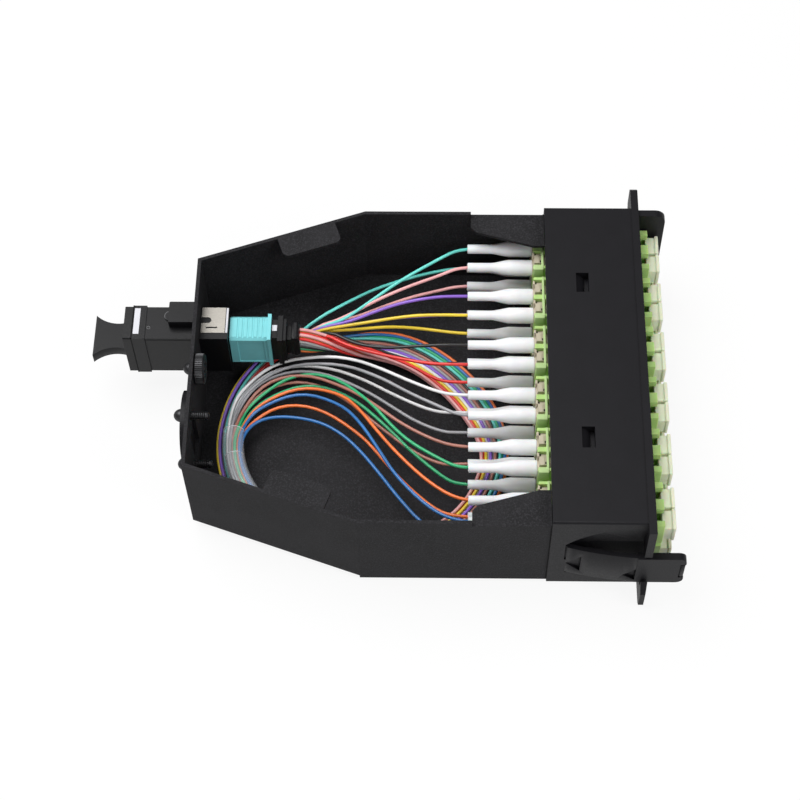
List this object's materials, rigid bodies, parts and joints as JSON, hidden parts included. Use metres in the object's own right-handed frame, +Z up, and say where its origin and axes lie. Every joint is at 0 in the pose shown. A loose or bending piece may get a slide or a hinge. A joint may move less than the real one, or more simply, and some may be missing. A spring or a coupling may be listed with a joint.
{
  "type": "fibre cassette",
  "caption": "Snap-in fibre cassette: folded tray with its cover off, multifibre adapter at the rear and two rows of duplex adapters with dust caps in a latching front housing.",
  "frame": {"origin": "centre of the panel opening in the seating plane, the rear face of the front flange", "axes": "+X out of the cassette's front, +Y towards the side with the fixed finger tab, +Z up out of the open tray"},
  "size_m": [0.1588, 0.1116, 0.035],
  "materials": {
    "tray_paint": "satin black powder coat",
    "housing_plastic": "fine matt black",
    "aqua_plastic": "satin aqua moulding",
    "lime_plastic": "satin lime moulding",
    "cap_plastic": "translucent cream",
    "nickel": "nickel-plated spring sheet",
    "screw_steel": "black-plated",
    "black_plastic": "satin black moulding",
    "boot_white": "soft satin white",
    "plug_plastic": "beige moulding",
    "clear_tube": "clear thin tube",
    "fibre_blue": "smooth satin buffer",
    "fibre_orange": "smooth satin buffer",
    "fibre_green": "smooth satin buffer",
    "fibre_brown": "smooth satin buffer",
    "fibre_slate": "smooth satin buffer",
    "fibre_white": "smooth satin buffer",
    "fibre_red": "smooth satin buffer",
    "fibre_black": "smooth satin buffer",
    "fibre_yellow": "smooth satin buffer",
    "fibre_violet": "smooth satin buffer",
    "fibre_rose": "smooth satin buffer",
    "fibre_aqua": "smooth satin buffer"
  },
  "bodies": {
    "cassette": {"tray": "tray_paint", "front_housing": "housing_plastic", "mpo_adapter": "black_plastic", "adapter_clip": "nickel", "mpo_dust_cap": "black_plastic", "connector_body": "black_plastic", "connector_boot": "black_plastic", "blank_plate": "tray_paint", "plate_screws": "screw_steel", "adapter_screw": "screw_steel", "adapter_nut": "screw_steel", "fibre_trunk": "fibre_aqua", "near_branch": "fibre_aqua", "far_branch": "fibre_aqua", "outer_clear_tube": "clear_tube", "inner_clear_tube": "clear_tube", "blue_fibres": "fibre_blue", "orange_fibres": "fibre_orange", "green_fibres": "fibre_green", "brown_fibres": "fibre_brown", "slate_fibres": "fibre_slate", "white_fibres": "fibre_white", "red_fibres": "fibre_red", "black_fibres": "fibre_black", "yellow_fibres": "fibre_yellow", "violet_fibres": "fibre_violet", "rose_fibres": "fibre_rose", "aqua_fibres": "fibre_aqua", "plugs_lower": "plug_plastic", "boots_lower": "boot_white", "adapter_lower_1": "lime_plastic", "dust_caps_lower_1": "cap_plastic", "adapter_lower_2": "lime_plastic", "dust_caps_lower_2": "cap_plastic", "adapter_lower_3": "lime_plastic", "dust_caps_lower_3": "cap_plastic", "adapter_lower_4": "lime_plastic", "dust_caps_lower_4": "cap_plastic", "adapter_lower_5": "lime_plastic", "dust_caps_lower_5": "cap_plastic", "adapter_lower_6": "lime_plastic", "dust_caps_lower_6": "cap_plastic", "plugs_upper": "plug_plastic", "boots_upper": "boot_white", "adapter_upper_1": "lime_plastic", "dust_caps_upper_1": "cap_plastic", "adapter_upper_2": "lime_plastic", "dust_caps_upper_2": "cap_plastic", "adapter_upper_3": "lime_plastic", "dust_caps_upper_3": "cap_plastic", "adapter_upper_4": "lime_plastic", "dust_caps_upper_4": "cap_plastic", "adapter_upper_5": "lime_plastic", "dust_caps_upper_5": "cap_plastic", "adapter_upper_6": "lime_plastic", "dust_caps_upper_6": "cap_plastic"},
    "lever": {"latch_lever": "housing_plastic"},
    "sleeve": {"connector_sleeve": "aqua_plastic"}
  },
  "joints": [
    {"name": "latch_press", "type": "hinge", "parent": "cassette", "child": "lever", "pos_m": [-0.0196, -0.0478, -0.0034], "axis": [0, 0, 1], "range_deg": [0, 4], "stiffness_Nm_per_rad": 0.2, "springref_deg": -1.15},
    {"name": "sleeve_release", "type": "slide", "parent": "cassette", "child": "sleeve", "axis": [1, 0, 0], "range_m": [0, 0.0015], "stiffness_N_per_m": 200, "springref_m": -0.0005}
  ]
}
